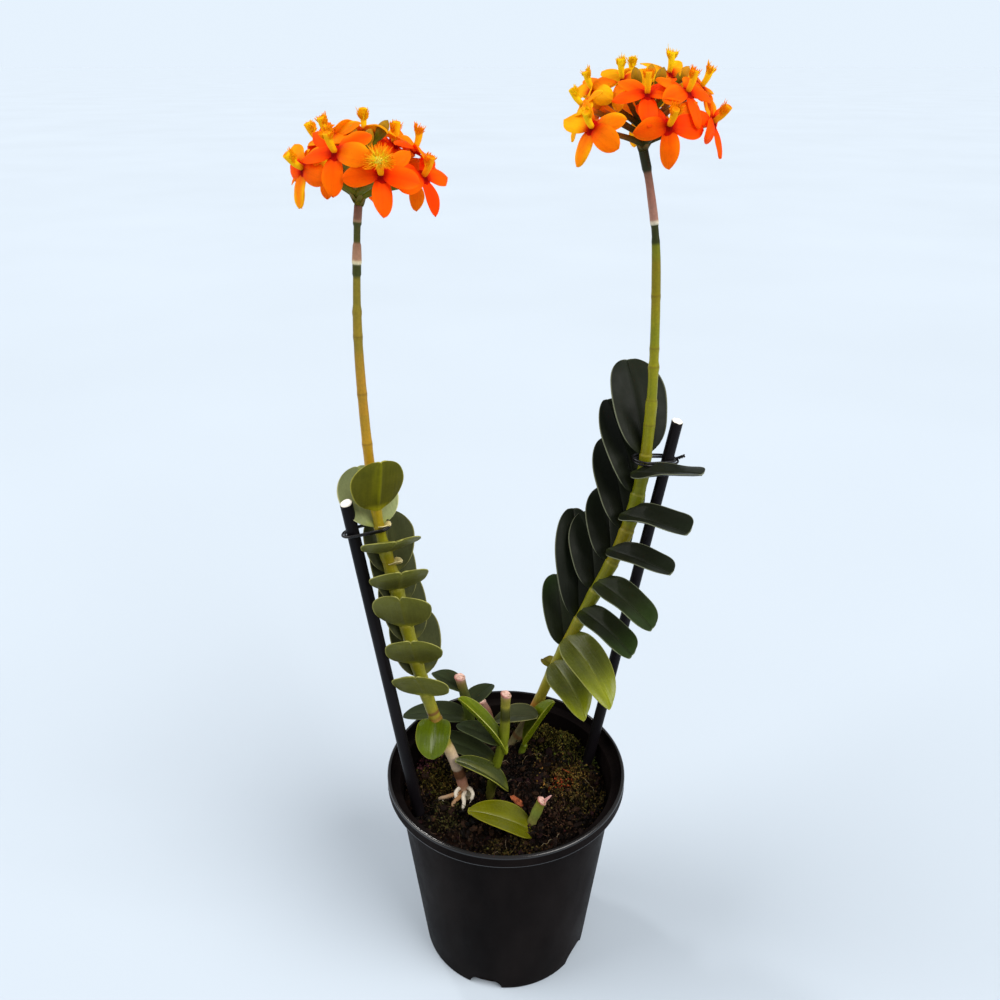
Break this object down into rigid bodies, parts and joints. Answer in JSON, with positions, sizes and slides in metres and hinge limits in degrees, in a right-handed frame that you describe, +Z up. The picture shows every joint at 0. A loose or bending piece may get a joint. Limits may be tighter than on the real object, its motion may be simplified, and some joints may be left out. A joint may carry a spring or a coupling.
{
  "type": "potted epidendrum orchid",
  "caption": "Reed-stem epidendrum orchid with leafy canes ending in round heads of fringed flowers, tied to stakes in a round nursery pot.",
  "frame": {"origin": "centre of the pot's underside, on the plane that the pot stands on", "axes": "+Z up, -Y towards the plant's front, +X to the front view's right"},
  "size_m": [0.1797, 0.1575, 0.4405],
  "materials": {
    "pot_plastic": "satin black",
    "potting_mix": "rough bark and peat",
    "foliage_olive": "satin, leathery",
    "foliage_dark": "satin, leathery",
    "foliage_bright": "glossy, leathery",
    "petals_orange": "soft, velvety",
    "stake_black": "satin black",
    "tie_black": "matt black coated wire"
  },
  "bodies": {
    "root": {"pot": "pot_plastic", "soil": "potting_mix", "cane_left": "foliage_olive", "cane_right": "foliage_dark", "flower_head_left": "petals_orange", "flower_head_right": "petals_orange", "cut_shoot_front": "foliage_bright", "cut_shoot_left": "foliage_dark", "cut_shoot_back": "foliage_dark", "cut_shoot_right": "foliage_bright", "young_shoot": "foliage_bright", "stake_left": "stake_black", "stake_right": "stake_black", "tie_left": "tie_black", "tie_right": "tie_black"}
  },
  "joints": []
}
